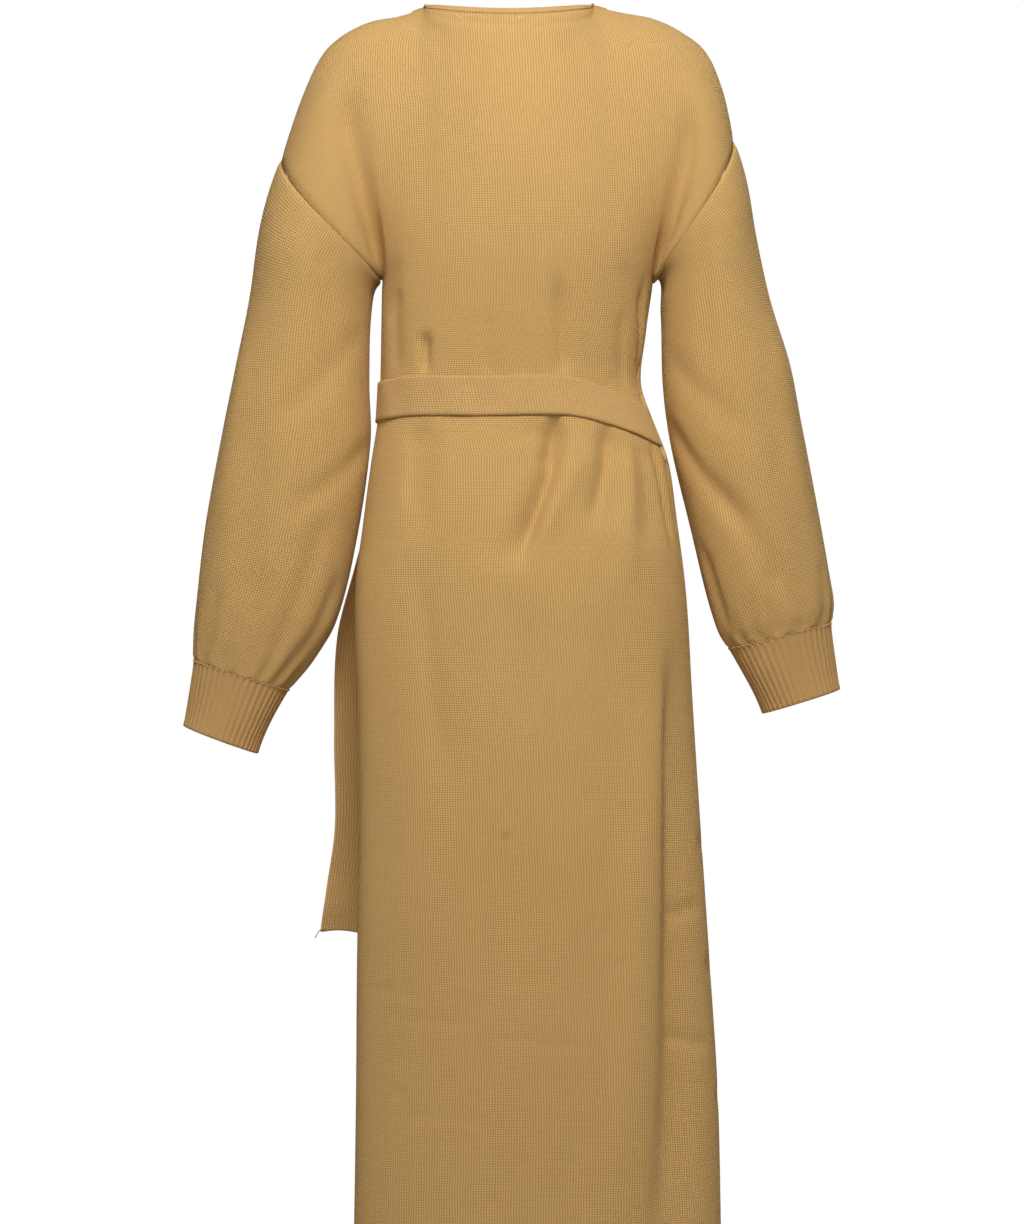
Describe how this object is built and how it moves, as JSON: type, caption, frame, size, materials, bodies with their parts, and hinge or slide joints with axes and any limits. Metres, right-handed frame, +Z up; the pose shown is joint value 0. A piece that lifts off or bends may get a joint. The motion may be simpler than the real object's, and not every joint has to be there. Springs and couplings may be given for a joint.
{
  "type": "long wrap sweater dress, filled out as worn",
  "caption": "Long knitted wrap dress with drop shoulders, wide sleeves, ribbed cuffs, banded V neck and a self tie through a side slit.",
  "frame": {"origin": "middle of the neck opening, level with the neck points, where the wearer's shoulders hold the dress up", "axes": "+Z up, -Y is the front, +X is the wearer's left"},
  "size_m": [0.6842, 0.2498, 1.317],
  "materials": {
    "knit_body": "camel fine-gauge plain knit, matt",
    "knit_band": "camel close-knit neck and front band, matt",
    "knit_tie": "camel close-knit self tie, matt",
    "rib_cuff": "camel one-by-one rib, matt"
  },
  "bodies": {
    "root": {"back_panel": "knit_body", "front_right": "knit_body", "front_left": "knit_body", "neck_band_back": "knit_band", "neck_band_right": "knit_band", "neck_band_left": "knit_band", "sleeve_left": "knit_body", "cuff_left": "rib_cuff", "sleeve_right": "knit_body", "cuff_right": "rib_cuff", "tie_inner": "knit_tie", "tie_outer": "knit_tie", "tie_knot": "knit_tie", "tie_tail_long": "knit_tie", "tie_tail_short": "knit_tie"}
  },
  "joints": []
}
